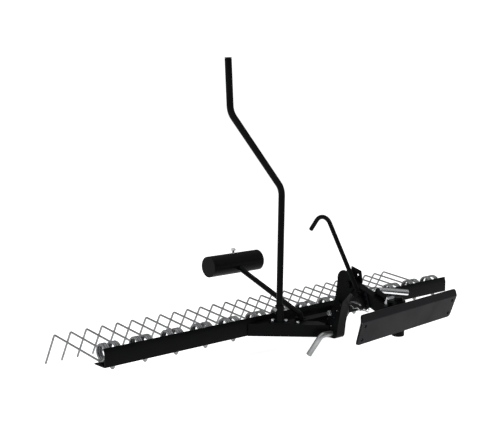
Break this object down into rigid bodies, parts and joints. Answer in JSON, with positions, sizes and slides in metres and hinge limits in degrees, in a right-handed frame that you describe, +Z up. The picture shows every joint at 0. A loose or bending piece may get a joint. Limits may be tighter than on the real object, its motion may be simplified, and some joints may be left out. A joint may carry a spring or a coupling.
{
  "type": "lawn dethatcher",
  "caption": "Front-mounted lawn dethatcher: a wide steel bar of coiled spring tines on a V-frame, with lift handle, ballast weight and a swivelling mounting plate.",
  "frame": {"origin": "centre of the bounding box's footprint, on the ground plane the tine tips stand on", "axes": "+X along the tine bar to the operator's right, +Y forward towards the tine tips, +Z up"},
  "size_m": [1.397, 0.7638, 0.8437],
  "materials": {
    "black_powder_coat": "glossy black powder coat",
    "black_ballast": "satin black paint over solid steel",
    "dark_plate": "satin charcoal powder coat",
    "spring_wire": "galvanised spring wire, dull sheen",
    "zinc_fastener": "bright zinc plate",
    "polished_rod": "bright plated round bar",
    "satin_bar": "dull zinc-plated round bar",
    "plug_plastic": "matt black plastic"
  },
  "bodies": {
    "rake_frame": {"tine_bar": "black_powder_coat", "left_arm": "black_powder_coat", "right_arm": "black_powder_coat", "cross_member": "black_powder_coat", "hub_upright": "black_powder_coat", "handle_socket": "black_powder_coat", "lift_handle": "black_powder_coat", "handle_end_plug": "plug_plastic", "handle_bolt": "zinc_fastener", "socket_bolt_1": "zinc_fastener", "socket_bolt_2": "zinc_fastener", "frame_bolt_left": "zinc_fastener", "frame_bolt_right": "zinc_fastener", "hub_cross_bolt": "zinc_fastener", "ballast_arm": "black_powder_coat", "pivot_bolt": "black_powder_coat", "pivot_tab": "dark_plate", "depth_pin": "black_powder_coat", "spring_tine_01": "spring_wire", "spring_tine_02": "spring_wire", "spring_tine_03": "spring_wire", "spring_tine_04": "spring_wire", "spring_tine_05": "spring_wire", "spring_tine_06": "spring_wire", "spring_tine_07": "spring_wire", "spring_tine_08": "spring_wire", "spring_tine_09": "spring_wire", "spring_tine_10": "spring_wire", "spring_tine_11": "spring_wire", "spring_tine_12": "spring_wire", "spring_tine_13": "spring_wire", "spring_tine_14": "spring_wire", "tine_bolt_01": "zinc_fastener", "tine_bolt_02": "zinc_fastener", "tine_bolt_03": "zinc_fastener", "tine_bolt_04": "zinc_fastener", "tine_bolt_05": "zinc_fastener", "tine_bolt_06": "zinc_fastener", "tine_bolt_07": "zinc_fastener", "tine_bolt_08": "zinc_fastener", "tine_bolt_09": "zinc_fastener", "tine_bolt_10": "zinc_fastener", "tine_bolt_11": "zinc_fastener", "tine_bolt_12": "zinc_fastener", "tine_bolt_13": "zinc_fastener", "tine_bolt_14": "zinc_fastener"},
    "tongue": {"tongue_beam": "black_powder_coat", "swivel_clevis": "black_powder_coat", "kingpin": "black_powder_coat", "sector_plate": "dark_plate", "lever_bolt": "black_powder_coat", "lock_pin_guide": "zinc_fastener"},
    "mount_head": {"mount_plate": "dark_plate", "swivel_barrel": "black_powder_coat"},
    "lock_pin_rod": {"lock_pin": "polished_rod"},
    "latch_lever_rod": {"latch_lever": "black_powder_coat"},
    "hitch_pin_rod": {"hitch_pin": "satin_bar"},
    "retaining_clip": {"hitch_pin_clip": "zinc_fastener"},
    "ballast": {"ballast_weight": "black_ballast"},
    "ballast_bolt": {"ballast_set_bolt": "zinc_fastener"}
  },
  "joints": [
    {"name": "rake_lift", "type": "hinge", "parent": "rake_frame", "child": "tongue", "pos_m": [-0.008, -0.15075, 0.21724], "axis": [-1, 0, 0], "range_deg": [0, 60]},
    {"name": "swivel", "type": "hinge", "parent": "tongue", "child": "mount_head", "pos_m": [-0.008, -0.31675, 0.15924], "axis": [0, 0, 1], "range_deg": [-25, 25]},
    {"name": "lock_pin_slide", "type": "slide", "parent": "tongue", "child": "lock_pin_rod", "axis": [0, 0.9304, 0.3665], "range_m": [0, 0.018]},
    {"name": "latch_lever_pivot", "type": "hinge", "parent": "tongue", "child": "latch_lever_rod", "pos_m": [-0.0312, -0.19635, 0.19724], "axis": [1, 0, 0], "range_deg": [0, 25]},
    {"name": "hitch_pin_slide", "type": "slide", "parent": "rake_frame", "child": "hitch_pin_rod", "axis": [-1, 0, 0], "range_m": [0, 0.055]},
    {"name": "clip_pull", "type": "slide", "parent": "rake_frame", "child": "retaining_clip", "axis": [0, -1, 0], "range_m": [0, 0.035]},
    {"name": "ballast_slide", "type": "slide", "parent": "rake_frame", "child": "ballast", "axis": [0, 0.9398, 0.3417], "range_m": [-0.08, 0.01]},
    {"name": "set_bolt_turn", "type": "hinge", "parent": "ballast", "child": "ballast_bolt", "pos_m": [-0.061, 0.30525, 0.25224], "axis": [0, 0, 1], "continuous": true}
  ]
}
